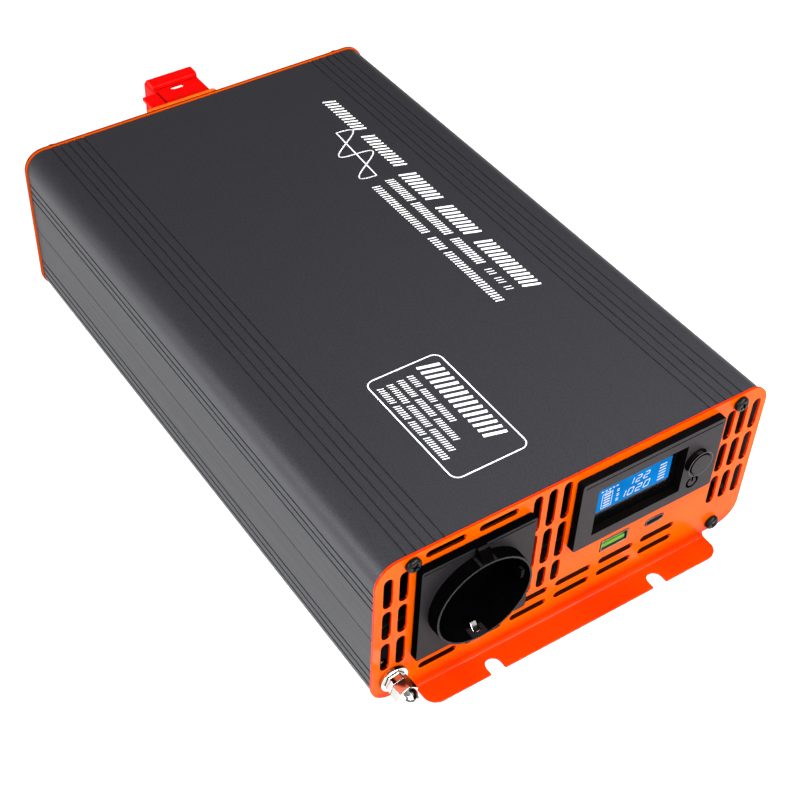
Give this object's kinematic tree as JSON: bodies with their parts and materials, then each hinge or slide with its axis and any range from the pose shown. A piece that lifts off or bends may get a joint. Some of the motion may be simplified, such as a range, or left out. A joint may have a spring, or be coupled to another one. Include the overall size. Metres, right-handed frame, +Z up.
{
  "type": "power inverter",
  "caption": "Power inverter: long ribbed aluminium case, slotted orange end panels with foot flanges, earthed outlet, display with push button, charging ports and earth terminal.",
  "frame": {"origin": "under the middle of the whole object's box, on the plane its foot flanges rest on", "axes": "+Y from the front panel (socket and display) to the rear panel (battery terminals), +Z up, +X to the right seen from the front"},
  "size_m": [0.176, 0.3216, 0.0775],
  "materials": {
    "anodised_aluminium": "satin, fine-grained",
    "orange_paint": "gloss",
    "black_steel": "semi-gloss",
    "nickel_plate": "polished",
    "black_plastic": "fine-textured",
    "grey_plastic": "satin",
    "clear_window": "polished",
    "lcd_blue": "lit",
    "green_plastic": "satin",
    "brass": "satin",
    "copper": "satin copper",
    "red_pvc": "satin",
    "black_pvc": "satin",
    "circuit_board": "satin",
    "ferrite": "matt",
    "bare_aluminium": "mill finish",
    "capacitor_sleeve": "satin"
  },
  "bodies": {
    "inverter": {"upper_case": "anodised_aluminium", "lower_case": "anodised_aluminium", "front_panel": "orange_paint", "rear_panel": "orange_paint", "rear_terminal_plate": "orange_paint", "front_screw_top_left": "black_steel", "front_screw_top_right": "black_steel", "front_screw_bottom_right": "black_steel", "rear_screw_top_left": "black_steel", "rear_screw_top_right": "black_steel", "rear_screw_bottom_left": "black_steel", "rear_screw_bottom_right": "black_steel", "fan_screw_bottom_left": "black_steel", "fan_screw_top_left": "black_steel", "fan_screw_bottom_right": "black_steel", "fan_screw_top_right": "black_steel", "earth_stud": "nickel_plate", "earth_lock_nut": "nickel_plate", "earth_washer": "nickel_plate", "earth_cap_nut": "nickel_plate", "socket_earth_clip_bottom": "nickel_plate", "socket_earth_clip_top": "nickel_plate", "usb_a_shell": "nickel_plate", "usb_c_shell": "nickel_plate", "positive_terminal_nut": "nickel_plate", "negative_terminal_nut": "nickel_plate", "socket_body": "black_plastic", "button_switch": "black_plastic", "usb_c_tongue": "black_plastic", "positive_terminal_insulator": "black_plastic", "negative_terminal_insulator": "black_plastic", "fan_frame": "black_plastic", "transistor_bank_left": "black_plastic", "transistor_bank_right": "black_plastic", "display_bezel": "grey_plastic", "display_window": "clear_window", "lcd_panel": "lcd_blue", "usb_a_tongue": "green_plastic", "socket_contact_left": "brass", "socket_contact_right": "brass", "positive_terminal_stud": "brass", "negative_terminal_stud": "brass", "positive_busbar": "copper", "negative_busbar": "copper", "transformer_winding": "copper", "output_choke": "copper", "display_board": "circuit_board", "usb_board": "circuit_board", "main_board": "circuit_board", "control_board": "circuit_board", "transformer_core": "ferrite", "heat_sink_left": "bare_aluminium", "heat_sink_right": "bare_aluminium", "high_voltage_capacitor": "capacitor_sleeve", "input_capacitor_left": "capacitor_sleeve", "input_capacitor_right": "capacitor_sleeve"},
    "power_button": {"power_button": "grey_plastic"},
    "fan_rotor": {"fan_rotor": "black_plastic"},
    "positive_cover": {"positive_terminal_cover": "red_pvc"},
    "negative_cover": {"negative_terminal_cover": "black_pvc"}
  },
  "joints": [
    {"name": "power_button_press", "type": "slide", "parent": "inverter", "child": "power_button", "axis": [0, 1, 0], "range_m": [0, 0.0012], "stiffness_N_per_m": 800},
    {"name": "fan_spin", "type": "hinge", "parent": "inverter", "child": "fan_rotor", "pos_m": [0.0396, 0.12675, 0.04], "axis": [0, 1, 0], "continuous": true},
    {"name": "positive_cover_slide", "type": "slide", "parent": "inverter", "child": "positive_cover", "axis": [0, 1, 0], "range_m": [0, 0.03]},
    {"name": "negative_cover_slide", "type": "slide", "parent": "inverter", "child": "negative_cover", "axis": [0, 1, 0], "range_m": [0, 0.03]}
  ]
}
